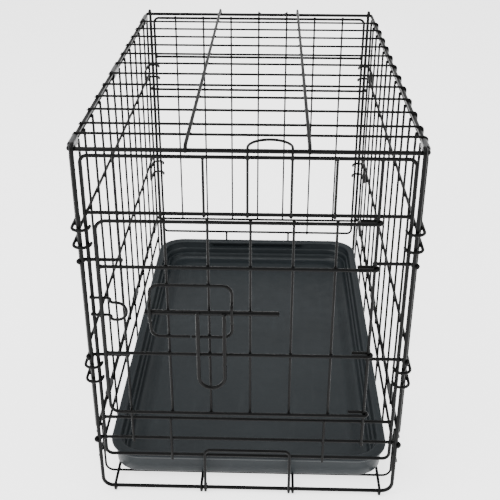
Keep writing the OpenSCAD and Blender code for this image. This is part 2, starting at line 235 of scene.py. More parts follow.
def flip_y(path):
    """Path mirrored front to rear."""
    return [Vector((p[0], -p[1], p[2])) for p in path]


def flip_x(path):
    """Path mirrored left to right."""
    return [Vector((-p[0], p[1], p[2])) for p in path]


# ---------------------------------------------------------------- wire meshes
class Wires:
    """Collects wires and welds into one mesh, in the crate's millimetres."""

    def __init__(self):
        self.verts = []
        self.faces = []

    def ring(self, centre, u, v, radius, sides):
        first = len(self.verts)
        for k in range(sides):
            a = 2 * math.pi * k / sides
            self.verts.append(centre + (u * math.cos(a) + v * math.sin(a)) * radius)
        return first

    def join(self, a, b, sides):
        for k in range(sides):
            n = (k + 1) % sides
            self.faces.append((a + k, a + n, b + n, b + k))

    def wire(self, path, radius, sides=WIRE_SIDES, closed=False, bevel=0.32):
        """Round wire along a path; open ends get a small cut bevel."""
        pts = [Vector(p) for p in path]
        count = len(pts)
        tangents = []
        for i in range(count):
            if closed:
                t = pts[(i + 1) % count] - pts[i - 1]
            else:
                t = pts[min(i + 1, count - 1)] - pts[max(i - 1, 0)]
            tangents.append(t.normalized())
        up = Vector((0, 0, 1)) if abs(tangents[0].z) < 0.9 else Vector((0, 1, 0))
        u = (up - tangents[0] * up.dot(tangents[0])).normalized()
        rings = []
        frames = []
        for i in range(count):
            if i:
                turn = tangents[i - 1].rotation_difference(tangents[i])
                u = turn @ u
                u = (u - tangents[i] * u.dot(tangents[i])).normalized()
            v = tangents[i].cross(u)
            frames.append((u.copy(), v))
        if not closed:
            first, last = tangents[0], tangents[-1]
            u, v = frames[0]
            cut = bevel * radius
            rings.append(self.ring(pts[0], u, v, radius - cut, sides))
            rings.append(self.ring(pts[0] + first * cut, u, v, radius, sides))
            for i in range(1, count - 1):
                rings.append(self.ring(pts[i], *frames[i], radius, sides))
            u, v = frames[-1]
            rings.append(self.ring(pts[-1] - last * cut, u, v, radius, sides))
            rings.append(self.ring(pts[-1], u, v, radius - cut, sides))
            self.faces.append(tuple(rings[0] + k for k in reversed(range(sides))))
            self.faces.append(tuple(rings[-1] + k for k in range(sides)))
        else:
            # undo the frame's twist round the loop, spread over its length
            u0, v0 = frames[0]
            turn = tangents[-1].rotation_difference(tangents[0])
            back = turn @ frames[-1][0]
            twist = math.atan2(back.dot(v0), back.dot(u0))
            for i in range(count):
                spin = Matrix.Rotation(-twist * i / count, 3, tangents[i])
                rings.append(self.ring(pts[i], spin @ frames[i][0],
                                       spin @ frames[i][1], radius, sides))
        for a, b in zip(rings, rings[1:]):
            self.join(a, b, sides)
        if closed:
            self.join(rings[-1], rings[0], sides)

    def weld(self, place, along, across, radius, other):
        """Squashed bead where two crossing wires are welded."""
        a, c = Vector(along), Vector(across)
        n = a.cross(c)
        sides, rows = BEAD_SIDES, BEAD_ROWS
        size = (BEAD_SPREAD * other, BEAD_SPREAD * radius,
                BEAD_HEIGHT * min(radius, other))
        place = Vector(place)
        rings = []
        for row in range(1, rows):
            lat = math.pi * row / rows - math.pi / 2
            first = len(self.verts)
            for k in range(sides):
                lon = 2 * math.pi * k / sides
                self.verts.append(
                    place
                    + a * (size[0] * math.cos(lat) * math.cos(lon))
                    + c * (size[1] * math.cos(lat) * math.sin(lon))
                    + n * (size[2] * math.sin(lat)))
            rings.append(first)
        for p, q in zip(rings, rings[1:]):
            self.join(p, q, sides)
        for first, sign in ((rings[0], -1), (rings[-1], 1)):
            tip = len(self.verts)
            self.verts.append(place + n * (sign * size[2]))
            for k in range(sides):
                m = (k + 1) % sides
                face = (first + k, first + m, tip)
                self.faces.append(face if sign > 0 else face[::-1])

    def build(self, name, material, body, slot, *nodes):
        mesh = bpy.data.meshes.new(name)
        mesh.from_pydata([to_frame(v) for v in self.verts], [], self.faces)
        mesh.materials.append(material)
        mesh.shade_smooth()
        mesh.set_sharp_from_angle(angle=math.radians(40))
        ob = bpy.data.objects.new(name, mesh)
        bpy.context.scene.collection.objects.link(ob)
        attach(ob, body)
        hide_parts(*nodes)
        return ob


X, Y, Z = (1, 0, 0), (0, 1, 0), (0, 0, 1)


# ---------------------------------------------------------------- materials
def new_material(name):
    mat = bpy.data.materials.new(name)
    mat.use_nodes = True
    tree = mat.node_tree
    return mat, tree, tree.nodes["Principled BSDF"]


def noise_node(tree, coords, scale, detail, rough=0.5):
    node = tree.nodes.new("ShaderNodeTexNoise")
    node.inputs["Scale"].default_value = scale
    node.inputs["Detail"].default_value = detail
    node.inputs["Roughness"].default_value = rough
    tree.links.new(coords.outputs["Object"], node.inputs["Vector"])
    return node


def ramp_node(tree, source, stops):
    node = tree.nodes.new("ShaderNodeValToRGB")
    ramp = node.color_ramp
    ramp.elements[0].position, ramp.elements[0].color = stops[0][0], stops[0][1]
    ramp.elements[1].position, ramp.elements[1].color = stops[-1][0], stops[-1][1]
    for place, colour in stops[1:-1]:
        ramp.elements.new(place).color = colour
    tree.links.new(source, node.inputs["Fac"])
    return node


def range_node(tree, source, low, high, out_low, out_high):
    node = tree.nodes.new("ShaderNodeMapRange")
    node.inputs["From Min"].default_value = low
    node.inputs["From Max"].default_value = high
    node.inputs["To Min"].default_value = out_low
    node.inputs["To Max"].default_value = out_high
    tree.links.new(source, node.inputs["Value"])
    return node


def bump_node(tree, source, strength, distance, under=None):
    node = tree.nodes.new("ShaderNodeBump")
    node.inputs["Strength"].default_value = strength
    node.inputs["Distance"].default_value = distance
    tree.links.new(source, node.inputs["Height"])
    if under is not None:
        tree.links.new(under.outputs["Normal"], node.inputs["Normal"])
    return node


def grey(value, blue=1.04):
    return (value, value * (1 + (blue - 1) / 2), value * blue, 1)


def coated_wire(name, dark, light, rough_low, rough_high, metal, gleam):
    """Black coating: faint flow marks, orange peel and a little dust."""
    mat, tree, shader = new_material(name)
    coords = tree.nodes.new("ShaderNodeTexCoord")
    flow = noise_node(tree, coords, 38, 5, 0.6)
    peel = noise_node(tree, coords, 900, 3, 0.5)
    specks = noise_node(tree, coords, 420, 4, 0.65)
    tone = ramp_node(tree, flow.outputs["Fac"],
                     [(0.3, grey(dark)), (0.72, grey(light))])
    dust = range_node(tree, specks.outputs["Fac"], 0.66, 0.8, 0.0, 0.35)
    mix = tree.nodes.new("ShaderNodeMix")
    mix.data_type = "RGBA"
    mix.inputs["B"].default_value = grey(light * 2.2, 0.98)
    tree.links.new(dust.outputs["Result"], mix.inputs["Factor"])
    tree.links.new(tone.outputs["Color"], mix.inputs["A"])
    tree.links.new(mix.outputs["Result"], shader.inputs["Base Color"])
    gloss = range_node(tree, flow.outputs["Fac"], 0.3, 0.7, rough_low, rough_high)
    tree.links.new(gloss.outputs["Result"], shader.inputs["Roughness"])
    bump = bump_node(tree, peel.outputs["Fac"], 0.22, 0.0002)
    tree.links.new(bump.outputs["Normal"], shader.inputs["Normal"])
    shader.inputs["Metallic"].default_value = metal
    shader.inputs["Specular IOR Level"].default_value = gleam
    return mat


def tray_plastic():
    """Thermoformed black plastic: fine grain and soft drag marks."""
    mat, tree, shader = new_material("tray_black_plastic")
    coords = tree.nodes.new("ShaderNodeTexCoord")
    broad = noise_node(tree, coords, 9, 4, 0.55)
    cloud = noise_node(tree, coords, 60, 5, 0.6)
    grain = tree.nodes.new("ShaderNodeTexVoronoi")
    grain.inputs["Scale"].default_value = 1150
    tree.links.new(coords.outputs["Object"], grain.inputs["Vector"])
    stretch = tree.nodes.new("ShaderNodeMapping")
    stretch.inputs["Scale"].default_value = (55, 6, 40)
    tree.links.new(coords.outputs["Object"], stretch.inputs["Vector"])
    drag = tree.nodes.new("ShaderNodeTexNoise")
    drag.inputs["Scale"].default_value = 2.2
    drag.inputs["Detail"].default_value = 6
    tree.links.new(stretch.outputs["Vector"], drag.inputs["Vector"])
    tone = ramp_node(tree, broad.outputs["Fac"],
                     [(0.3, (0.0085, 0.0115, 0.0135, 1)),
                      (0.7, (0.0125, 0.0165, 0.0190, 1))])
    scuff = range_node(tree, drag.outputs["Fac"], 0.58, 0.8, 0.0, 0.3)
    mix = tree.nodes.new("ShaderNodeMix")
    mix.data_type = "RGBA"
    mix.inputs["B"].default_value = (0.027, 0.032, 0.035, 1)
    tree.links.new(scuff.outputs["Result"], mix.inputs["Factor"])
    tree.links.new(tone.outputs["Color"], mix.inputs["A"])
    tree.links.new(mix.outputs["Result"], shader.inputs["Base Color"])
    gloss = range_node(tree, cloud.outputs["Fac"], 0.3, 0.7, 0.36, 0.5)
    tree.links.new(gloss.outputs["Result"], shader.inputs["Roughness"])
    shader.inputs["Specular IOR Level"].default_value = 0.22
    soft = bump_node(tree, cloud.outputs["Fac"], 0.12, 0.001)
    fine = bump_node(tree, grain.outputs["Distance"], 0.22, 0.00025, soft)
    tree.links.new(fine.outputs["Normal"], shader.inputs["Normal"])
    return mat


WIRE = coated_wire("black_wire_coat", 0.0015, 0.0035, 0.3, 0.42, 0.0, 0.09)
BAR = coated_wire("black_bar_coat", 0.0013, 0.003, 0.26, 0.38, 0.0, 0.09)
# Strip clips: black-painted steel given a dark grey base colour, far lighter than the
# wires; that lighter tone is painted sheen standing in for the clips' light-grey
# reflections.
STRIP_PAINTED_SHEEN = coated_wire("strip_clip_coat_painted_sheen", 0.03, 0.06, 0.24, 0.36, 0.4, 0.3)
PLASTIC = tray_plastic()


# ---------------------------------------------------------------- end panels
def hoop_path():
    """One hoop, from the curl over one roof corner to the other."""
    curl = arc("yz", (-HOOP_X, -ROOF_Y, ROOF_Z), FAR_Y - ROOF_Y, 0, 180, 14)
    bottom = rounded([(-HOOP_X, -FAR_Y, ROOF_Z), (-HOOP_X, -FAR_Y, BAR_Z),
                      (HOOP_X, -FAR_Y, BAR_Z), (HOOP_X, -FAR_Y, ROOF_Z)],
                     HOOP_CORNER)
    return chain(curl, bottom, flip_x(curl)[::-1])


def curl_path(z):
    """Left end of a rail, wrapped round the hoop's leg."""
    return arc("xy", (-HOOP_X, -FAR_Y, z), FAR_Y - RAIL_Y, 260, -170)


def end_panel(prefix, body, front):
    """Hoop, mesh frame and rails of an end panel; the front one has a doorway."""
    face = (lambda path: path) if front else flip_y
    sign = -1 if front else 1

    hoop = Wires()
    hoop.wire(face(hoop_path()), HOOP_R, BAR_SIDES)
    hoop.build(prefix + "_hoop_bar", BAR, body, "black_bar", prefix + "_hoop")

    mesh = Wires()
    corners = [(-MESH_X, -RAIL_Y, MESH_LOW), (MESH_X, -RAIL_Y, MESH_LOW),
               (MESH_X, -RAIL_Y, MESH_TOP), (-MESH_X, -RAIL_Y, MESH_TOP)]
    mesh.wire(face(rounded(corners, MESH_CORNER, closed=True)), RAIL_R, closed=True)
    mesh.build(prefix + "_mesh_frame_wire", WIRE, body, "black_wire",
               prefix + "_mesh_frame")

    rails = Wires()
    inner = MESH_X - RAIL_R + SINK
    plain = (DOOR_HEAD, DOOR_SILL) if front else (DOOR_HEAD,)
    full = (KICK_Z,) if front else (KICK_Z,) + STRIP_ZS
    for z in plain:
        rails.wire(face([(-inner, -RAIL_Y, z), (inner, -RAIL_Y, z)]), RAIL_R)
        for s in (-1, 1):
            rails.weld((s * (inner + SINK / 2), sign * RAIL_Y, z),
                       X, Z, RAIL_R, RAIL_R)
    for z in full:
        curl = curl_path(z)
        rails.wire(face(chain(curl, flip_x(curl)[::-1])), RAIL_R)
    if front:
        for z in STRIP_ZS:
            end = [(-POST_X + STUB, -RAIL_Y, z)]
            rails.wire(chain(curl_path(z), end), RAIL_R)
            rails.wire(chain(flip_x(curl_path(z)), flip_x(end)), RAIL_R)
    for z in full + (STRIP_ZS if front else ()):
        for s in (-1, 1):
            rails.weld((s * (HOOP_X - BEAD_IN), sign * (RAIL_Y + RAIL_R), z),
                       X, Z, HOOP_R, RAIL_R)
            rails.weld((s * MESH_X, sign * (RAIL_Y + RAIL_R - BEAD_DEEP), z),
                       X, Z, RAIL_R, RAIL_R)
    rails.build(prefix + "_rail_wires", WIRE, body, "black_wire",
                prefix + "_cross_rails")
    return face, sign


def uprights(wires, face, xs, low, high, radius, plane, sign, rails):
    """Upright wires with a weld at each rail they cross."""
    for x in xs:
        wires.wire(face([(x, -plane, low), (x, -plane, high)]), radius)
        for z in rails:
            wires.weld((x, sign * (RAIL_Y + RAIL_R), z), Z, X, radius, RAIL_R)


def arch_path(foot):
    """Catch wire: up one upright, over the roof bar and down the other."""
    top = ROOF_Z + ARCH_BEND
    rise = arc("yz", (0, -ROOF_Y, ROOF_Z), ARCH_BEND, 180, -90)
    bend = arc("xy", (END_PITCH / 2, -ROOF_Y, top), END_PITCH / 2, 180, -180, 18)
    fall = [p + Vector((END_PITCH, 0, 0)) for p in reversed(rise)]
    return chain([(0, -UP_Y, foot)], rise, bend, fall, [(END_PITCH, -UP_Y, foot)])


face, sign = end_panel("front", "crate", True)

part = Wires()
TOP_RAILS = (DOOR_HEAD, MESH_TOP)
uprights(part, face, [k * END_PITCH for k in (-2, -1, 2)], DOOR_HEAD - STUB,
         MESH_TOP + STUB, MESH_R, UP_Y, sign, TOP_RAILS)
uprights(part, face, [-2 * END_PITCH, 2 * END_PITCH], MESH_LOW - FOOT_STUB,
         DOOR_SILL + STUB, MESH_R, UP_Y, sign, (MESH_LOW, KICK_Z, DOOR_SILL))
part.build("front_upright_wires", WIRE, "crate", "black_wire", "front_uprights")

part = Wires()
POST_RAILS = (KICK_Z, DOOR_SILL, DOOR_HEAD, MESH_TOP) + STRIP_ZS
uprights(part, face, [-POST_X], KICK_Z - POST_STUB, MESH_TOP + STUB, MESH_R, UP_Y, sign,
         POST_RAILS)
uprights(part, face, [POST_X], KICK_Z - POST_STUB, MESH_TOP + STUB, HOOK_R, POST_Y, sign,
         POST_RAILS)
part.build("front_door_post_wires", WIRE, "crate", "black_wire",
           "front_door_posts")

part = Wires()
part.wire(face(arch_path(DOOR_HEAD - STUB)), MESH_R)
for k in (0, 1):
    for z in TOP_RAILS:
        part.weld((k * END_PITCH, -RAIL_Y - RAIL_R, z), Z, X, MESH_R, RAIL_R)
part.build("front_lock_arch_wire", WIRE, "crate", "black_wire",
           "front_lock_arch")

# Keeper: each leg steps forward, then the two join round the tip
part = Wires()
KEEPER_IN = RAIL_Y + RAIL_R + KEEPER_R - WELD
KEEPER_OUT = BOLT_Y + BOLT_R + KEEPER_R + KEEPER_PLAY
KEEPER_HALF = span("bolt_keeper", 2) / 2 - KEEPER_R
STEP = (KEEPER_OUT - KEEPER_IN) / 2
KNEE_X = edge("bolt_keeper", 0, 0) + KEEPER_LEG
TIP_X = edge("bolt_keeper", 0, 1) - KEEPER_R - KEEPER_HALF


def keeper_leg(z):
    knee = arc("xy", (KNEE_X, -KEEPER_IN - STEP, z), STEP, 90, -90, 6)
    out = arc("xy", (KNEE_X + 2 * STEP, -KEEPER_IN - STEP, z), STEP, 180, 90, 6)
    return chain([(KNEE_X - KEEPER_LEG, -KEEPER_IN, z)], knee, out)


tip = arc("xz", (TIP_X, -KEEPER_OUT, KEEPER_Z), KEEPER_HALF, -90, 180, 14)
part.wire(chain(keeper_leg(KEEPER_Z - KEEPER_HALF), tip,
                keeper_leg(KEEPER_Z + KEEPER_HALF)[::-1]), KEEPER_R)
for s in (-1, 1):
    part.weld((-MESH_X, -RAIL_Y - RAIL_R, KEEPER_Z + s * KEEPER_HALF),
              X, Z, KEEPER_R, RAIL_R)
part.build("bolt_keeper_wire", WIRE, "crate", "black_wire", "bolt_keeper")

face, sign = end_panel("rear", "crate", False)

part = Wires()
REAR_RAILS = (KICK_Z, DOOR_HEAD, MESH_TOP) + STRIP_ZS
uprights(part, face, [k * END_PITCH for k in (-3, -1, 3)], KICK_Z - POST_STUB,
         MESH_TOP + STUB, MESH_R, UP_Y, sign, REAR_RAILS)
uprights(part, face, [-2 * END_PITCH, 2 * END_PITCH], MESH_LOW - FOOT_STUB,
         MESH_TOP + STUB, MESH_R, UP_Y, sign, REAR_RAILS + (MESH_LOW,))
part.build("rear_upright_wires", WIRE, "crate", "black_wire", "rear_uprights")

part = Wires()
part.wire(face(arch_path(KICK_Z - POST_STUB)), MESH_R)
for k in (0, 1):
    for z in REAR_RAILS:
        part.weld((k * END_PITCH, RAIL_Y + RAIL_R, z), Z, X, MESH_R, RAIL_R)
part.build("rear_lock_arch_wire", WIRE, "crate", "black_wire", "rear_lock_arch")


# ---------------------------------------------------------------- roof
part = Wires()
ring = [(-SIDE_X, -ROOF_Y, ROOF_Z), (SIDE_X, -ROOF_Y, ROOF_Z),
        (SIDE_X, ROOF_Y, ROOF_Z), (-SIDE_X, ROOF_Y, ROOF_Z)]
part.wire(rounded(ring, ROOF_CORNER, closed=True), HOOP_R, BAR_SIDES, closed=True)
part.build("roof_frame_bar", BAR, "crate", "black_bar", "roof_frame")

part = Wires()
hook_r = CROSS_Z - ROOF_Z
for y in SIDE_YS:
    hook = arc("xz", (SIDE_X, y, ROOF_Z), hook_r, 90, -90)
    curl = arc("xz", (SIDE_X, y, SIDE_TOP), hook_r, 0, -90)
    part.wire(chain([(-SIDE_X - SIDE_STUB, y, CROSS_Z)], hook, curl), MESH_R)
    for x in (-SIDE_X, SIDE_X):
        part.weld((x, y, ROOF_Z + HOOP_R), X, Y, MESH_R, HOOP_R)
part.build("roof_cross_wire_set", WIRE, "crate", "black_wire",
           "roof_cross_wires")

part = Wires()
end_r = STIFF_Z - ROOF_Z
for s in (-1, 1):
    x = s * STIFF_X
    front_end = arc("yz", (x, -ROOF_Y, ROOF_Z), end_r, 180, -90)
    rear_end = arc("yz", (x, ROOF_Y, ROOF_Z), end_r, 90, -90)
    part.wire(chain(front_end, rear_end), RAIL_R, BAR_SIDES)
    for y in SIDE_YS:
        part.weld((x, y, CROSS_Z + MESH_R), X, Y, MESH_R, RAIL_R)
part.build("roof_stiffener_wires", WIRE, "crate", "black_wire",
           "roof_stiffeners")


# ---------------------------------------------------------------- sides
LATCH_X = edge("right_latch_hooks", 0, 1) - HOOK_R
LATCH_R = 8.275
LATCH_Y = FAR_Y - 2.9
LATCH_END = FAR_Y - 33.4
LATCH_ZS = ((305.6, 323.8), (149.8, 167.4))
LATCH_TIP = 3.0


def latch_path(low, high):
    """Two prongs round a hoop's leg, joined by a bar behind them."""
    def prong(z):
        nose = arc("xy", (LATCH_X - LATCH_R, -LATCH_Y, z), LATCH_R, 180, 180, 16)
        return chain([(LATCH_X - 2 * LATCH_R, -LATCH_Y + LATCH_TIP, z)], nose)
    back = rounded([(LATCH_X, -LATCH_Y, low), (LATCH_X, -LATCH_END, low),
                    (LATCH_X, -LATCH_END, high), (LATCH_X, -LATCH_Y, high)],
                   LATCH_CORNER)
    return chain(prong(low), back, prong(high)[::-1])


def side_panel(prefix, s):
    """Frame, rails, uprights and latch hooks of one side."""
    def put(path):
        return path if s > 0 else flip_x(path)

    part = Wires()
    ring = [(SIDE_X, -SIDE_Y, SIDE_LOW), (SIDE_X, SIDE_Y, SIDE_LOW),
            (SIDE_X, SIDE_Y, SIDE_TOP), (SIDE_X, -SIDE_Y, SIDE_TOP)]
    part.wire(put(rounded(ring, SIDE_CORNER, closed=True)), HOOK_R, closed=True)
    part.build(prefix + "_side_frame_wire", WIRE, "crate", "black_wire",
               prefix + "_side_frame")

    part = Wires()
    end = SIDE_Y - HOOK_R + SINK
    for z in SIDE_RAIL_ZS:
        part.wire(put([(SIDE_X, -end, z), (SIDE_X, end, z)]), HOOK_R)
        for t in (-1, 1):
            part.weld((s * SIDE_X, t * (end + SINK / 2), z), Y, Z, HOOK_R, HOOK_R)
    part.build(prefix + "_side_rail_wires", WIRE, "crate", "black_wire",
               prefix + "_side_rails")

    part = Wires()
    for y in SIDE_YS:
        part.wire(put([(SIDE_UP_X, y, SIDE_LOW - SIDE_STUB),
                       (SIDE_UP_X, y, SIDE_TOP + SIDE_STUB)]), MESH_R)
        for z in SIDE_RAIL_ZS + (SIDE_LOW, SIDE_TOP):
            part.weld((s * (SIDE_X - HOOK_R), y, z), Z, Y, MESH_R, HOOK_R)
    part.build(prefix + "_side_upright_wires", WIRE, "crate", "black_wire",
               prefix + "_side_uprights")

    part = Wires()
    for low, high in LATCH_ZS:
        part.wire(put(latch_path(low, high)), HOOK_R)
        part.wire(put(flip_y(latch_path(low, high))), HOOK_R)
        for z in (low, high):
            for t in (-1, 1):
                part.weld((s * (SIDE_X + HOOK_R), t * SIDE_Y, z),
                          Y, Z, HOOK_R, HOOK_R)
    part.build(prefix + "_latch_hook_wires", WIRE, "crate", "black_wire",
               prefix + "_latch_hooks")


side_panel("left", -1)
side_panel("right", 1)


# ---------------------------------------------------------------- base
def bar_curl(x):
    """Eye of a floor wire round the front hoop's bottom bar."""
    return arc("yz", (x, -FAR_Y, BAR_Z), BAR_EYE, 330, -240, 18)


part = Wires()
RISE_Y = RAIL_Y - RAIL_R - HOOK_R - HAIR
for s in (-1, 1):
    x = s * OUTER_DEPTH_X
    part.wire(chain(bar_curl(x), flip_y(bar_curl(x))[::-1]), HOOK_R)
    x = s * INNER_DEPTH_X
    rise = rounded([(x, -FAR_Y, FLOOR_Z), (x, RISE_Y, FLOOR_Z),
                    (x, RISE_Y, MESH_LOW + POST_STUB)], RISE_CORNER)
    part.wire(chain(bar_curl(x), rise), HOOK_R)
    part.weld((x, RISE_Y + HOOK_R, MESH_LOW), Z, X, HOOK_R, RAIL_R)
    for y in FLOOR_YS:
        for x in (s * OUTER_DEPTH_X, s * INNER_DEPTH_X):
            part.weld((x, y, FLOOR_LOW + MESH_R), X, Y, MESH_R, HOOK_R)
part.build("base_depth_wire_set", WIRE, "crate", "black_wire",
           "base_depth_wires")

part = Wires()
for y in FLOOR_YS:
    top = FLANGE_Z + FLANGE_STUB
    part.wire(rounded([(-SIDE_UP_X, y, top), (-SIDE_UP_X, y, FLOOR_LOW),
                       (SIDE_UP_X, y, FLOOR_LOW), (SIDE_UP_X, y, top)],
                      FLOOR_CORNER), MESH_R)
part.build("base_floor_wire_set", WIRE, "crate", "black_wire",
           "base_floor_wires")

part = Wires()
for s in (-1, 1):
    for z in (FLANGE_MID, FLANGE_Z):
        end = SIDE_Y + FLANGE_OVER
        part.wire([(s * SIDE_X, -end, z), (s * SIDE_X, end, z)], HOOK_R)
        for y in FLOOR_YS:
            part.weld((s * (SIDE_X - HOOK_R), y, z), Z, Y, MESH_R, HOOK_R)
part.build("base_flange_wires", WIRE, "crate", "black_wire",
           "base_flange_rails")


# ---------------------------------------------------------------- clips
CLIP_THICK = 1.0
CLIP_EDGE = 0.35
CLIP_PLAY = 0.15
CLIP_DROP = 0.4
SEAM_HALF = 0.25


def strip_profile(low, high, radius, steps=9):
    """Oval outline of the strip's middle line, open at the inner seam."""
    out = []
    for k in range(steps + 1):
        a = math.pi * k / steps
        out.append(Vector((math.cos(a) * radius, high + math.sin(a) * radius)))
    for k in range(steps + 1):
        a = math.pi + math.pi * k / steps
        out.append(Vector((math.cos(a) * radius, low + math.sin(a) * radius)))
    return out


def strip_clip(wires, x, y, long, low, high, inner):
    """Strip bent round two wires, its two edges meeting at a seam inside."""
    thick, ease = CLIP_THICK, CLIP_EDGE
    flip = 1 if x < 0 else -1
    half = long / 2
    loops = []
    rows = ((inner, -half + ease), (inner, half - ease),
            (inner + ease, half), (inner + thick - ease, half),
            (inner + thick, half - ease), (inner + thick, -half + ease),
            (inner + thick - ease, -half), (inner + ease, -half))
    for radius, along in rows:
        outline = strip_profile(low, high, radius)
        seam = Vector((radius, (low + high) / 2))
        top = Vector((radius, seam.y + SEAM_HALF))
        bottom = Vector((radius, seam.y - SEAM_HALF))
        outline = [top] + outline + [bottom]
        loops.append(len(wires.verts))
        for p in outline:
            wires.verts.append(Vector((x + flip * p.x, y + along, p.y)))
    last = len(outline) - 1
    for i, a in enumerate(loops):
        b = loops[(i + 1) % len(loops)]
        for k in range(last):
            quad = (a + k, a + k + 1, b + k + 1, b + k)
            wires.faces.append(quad if flip > 0 else quad[::-1])
    for k in (0, last):
        cap = tuple(first + k for first in loops)
        wires.faces.append(cap if (k == 0) == (flip > 0) else cap[::-1])


def clip_spans(node, side):
    """Middle and length of each clip on one side, from the CAD's faces."""
    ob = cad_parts[node]
    ys = sorted({round(v.co.y / MM, 2) for v in ob.data.vertices
                 if v.co.x * side > 0})
    return [((a + b) / 2 - SHIFT_Y, b - a) for a, b in zip(ys[::2], ys[1::2])]


part = Wires()
for side in (-1, 1):
    for y, long in clip_spans("upper_hinge_clips", side):
        strip_clip(part, side * SIDE_X, y, long, SIDE_TOP - CLIP_DROP, ROOF_Z,
                   HOOP_R + CLIP_PLAY)
part.build("upper_strip_clips", STRIP_PAINTED_SHEEN, "crate", "strip_steel",
           "upper_hinge_clips")

part = Wires()
for side in (-1, 1):
    for y, long in clip_spans("lower_hinge_clips", side):
        strip_clip(part, side * SIDE_X, y, long, FLANGE_Z, SIDE_LOW,
                   HOOK_R + CLIP_PLAY)
part.build("lower_strip_clips", STRIP_PAINTED_SHEEN, "crate", "strip_steel",
           "lower_hinge_clips")


# ---------------------------------------------------------------- tray
TRAY_LOW = [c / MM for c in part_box("tray")[0]]
TRAY_HIGH = [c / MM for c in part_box("tray")[1]]
TRAY_H = TRAY_HIGH[2] - TRAY_LOW[2]
FOOT_R = 4.0
RIM_ROLL = 2.4
RIM_FALL = 2.6
COVE_R = 6.0
SLOT_REACH = 73.0
SLOT_DEPTH = 3.6
FLOOR_INSET = 26.0
FLOOR_THICK = 2.2
UNDER_INSET = 24.0
FLOOR_CORNER_R = 24.0
# The floor's outlines: inset from the rim's edge, and lift of the shallow rib
RIB_ROWS = ((30.0, 0.0), (33.0, 0.7), (38.0, 0.7), (41.0, 0.0), (70.0, 0.0), (110.0, 0.0))


def round_rect(half_x, half_y, radius, z, middle_y, steps=12, sides=40):
    """Closed outline of a rectangle with round corners."""
    out = []
    corners = ((1, 1, 0), (-1, 1, 90), (-1, -1, 180), (1, -1, 270))
    for i, (sx, sy, start) in enumerate(corners):
        centre = (sx * (half_x - radius), middle_y + sy * (half_y - radius))
        for k in range(steps + 1):
            a = math.radians(start + 90 * k / steps)
            out.append(Vector((centre[0] + radius * math.cos(a),
                               centre[1] + radius * math.sin(a), z)))
        nx, ny, turn = corners[(i + 1) % 4]
        last = out[-1]
        a = math.radians(turn)
        nxt = Vector((nx * (half_x - radius) + radius * math.cos(a),
                      middle_y + ny * (half_y - radius) + radius * math.sin(a), z))
        for k in range(1, sides):
            out.append(last.lerp(nxt, k / sides))
    return out


def tray_profile():
    """Outlines from the underside, over the rim, to the inside floor.

    Each is (inset from the rim's edge, height, corner radius, slot depth).
    """
    rows = []
    for k in range(6):
        a = math.radians(-90 + 15 * k)
        rows.append((9.6 - FOOT_R * math.cos(a),
                     FOOT_R + FOOT_R * math.sin(a), 28, 0))
    rows.append((5.4, 12.0, 29, 0))
    rows.append((5.1, TRAY_H - 7.0, 30, 0))
    rows.append((4.8, TRAY_H - 5.2, 31, 0))
    rows.append((1.4, TRAY_H - 5.0, 35, 0))
    # rolled edge of the rim
    for k in range(9):
        a = math.radians(-60 + 165 * k / 8)
        rows.append((RIM_ROLL - RIM_ROLL * math.cos(a),
                     TRAY_H - RIM_ROLL + RIM_ROLL * math.sin(a), 36, 0))
    rows.append((6.4, TRAY_H - 0.4, 33, 0))
    for k in range(6):
        a = math.radians(18 * k)
        rows.append((7.6 + RIM_FALL * math.sin(a),
                     TRAY_H - 0.6 - RIM_FALL * (1 - math.cos(a)), 32 - 0.4 * k, 0))
    # hand slot in the rear wall, then two ledges and the floor's round edge
    rows.append((10.3, TRAY_H - 4.2, 30, 0))
    rows.append((10.4, TRAY_H - 4.4, 30, SLOT_DEPTH))
    rows.append((10.8, TRAY_H - 8.4, 29, SLOT_DEPTH))
    rows.append((10.9, TRAY_H - 8.6, 29, 0))
    rows.append((11.3, TRAY_H - 10.6, 29, 0))
    rows.append((13.4, TRAY_H - 11.4, 27, 0))
    rows.append((13.9, TRAY_H - 12.4, 27, 0))
    rows.append((14.8, TRAY_H - 18.0, 26, 0))
    rows.append((16.4, TRAY_H - 18.6, 26, 0))
    rows.append((16.8, TRAY_H - 19.6, 25, 0))
    for k in range(7):
        a = math.radians(15 * k)
        rows.append((17.4 + COVE_R * (1 - math.cos(a)),
                     FLOOR_THICK + COVE_R - COVE_R * math.sin(a), 25, 0))
    rows.append((FLOOR_INSET, FLOOR_THICK, 22, 0))
    return rows


def tray_mesh():
    """Tray skinned over its outlines, with the floor and underside closed."""
    half_x = (TRAY_HIGH[0] - TRAY_LOW[0]) / 2
    half_y = (TRAY_HIGH[1] - TRAY_LOW[1]) / 2
    mid_y = (TRAY_LOW[1] + TRAY_HIGH[1]) / 2 - SHIFT_Y
    low = TRAY_LOW[2]
    pan = Wires()
    rings = []
    for inset, height, radius, slot in tray_profile():
        first = len(pan.verts)
        outline = round_rect(half_x - inset, half_y - inset, radius,
                             low + height, mid_y)
        for p in outline:
            if p.y > 0 and abs(p.x) < SLOT_REACH:
                p.y += slot
        pan.verts.extend(outline)
        rings.append(first)
    size = len(outline)
    for a, b in zip(rings, rings[1:]):
        pan.join(a, b, size)
    # inside floor: outlines shrink towards the middle, with two shallow ribs
    first = rings[-1]
    floor = low + FLOOR_THICK
    for inset, lift in RIB_ROWS:
        ring_first = len(pan.verts)
        radius = max(6.0, FLOOR_CORNER_R - (inset - FLOOR_INSET) * 0.35)
        pan.verts.extend(round_rect(half_x - inset, half_y - inset, radius,
                                    floor + lift, mid_y))
        pan.join(first, ring_first, size)
        first = ring_first
    pan.faces.append(tuple(first + k for k in range(size)))
    # underside
    under = len(pan.verts)
    pan.verts.extend(round_rect(half_x - UNDER_INSET, half_y - UNDER_INSET,
                                FLOOR_CORNER_R, low, mid_y))
    pan.join(under, rings[0], size)
    pan.faces.append(tuple(under + k for k in reversed(range(size))))
    return pan


tray_mesh().build("tray_pan", PLASTIC, "crate", "tray_plastic", "tray")


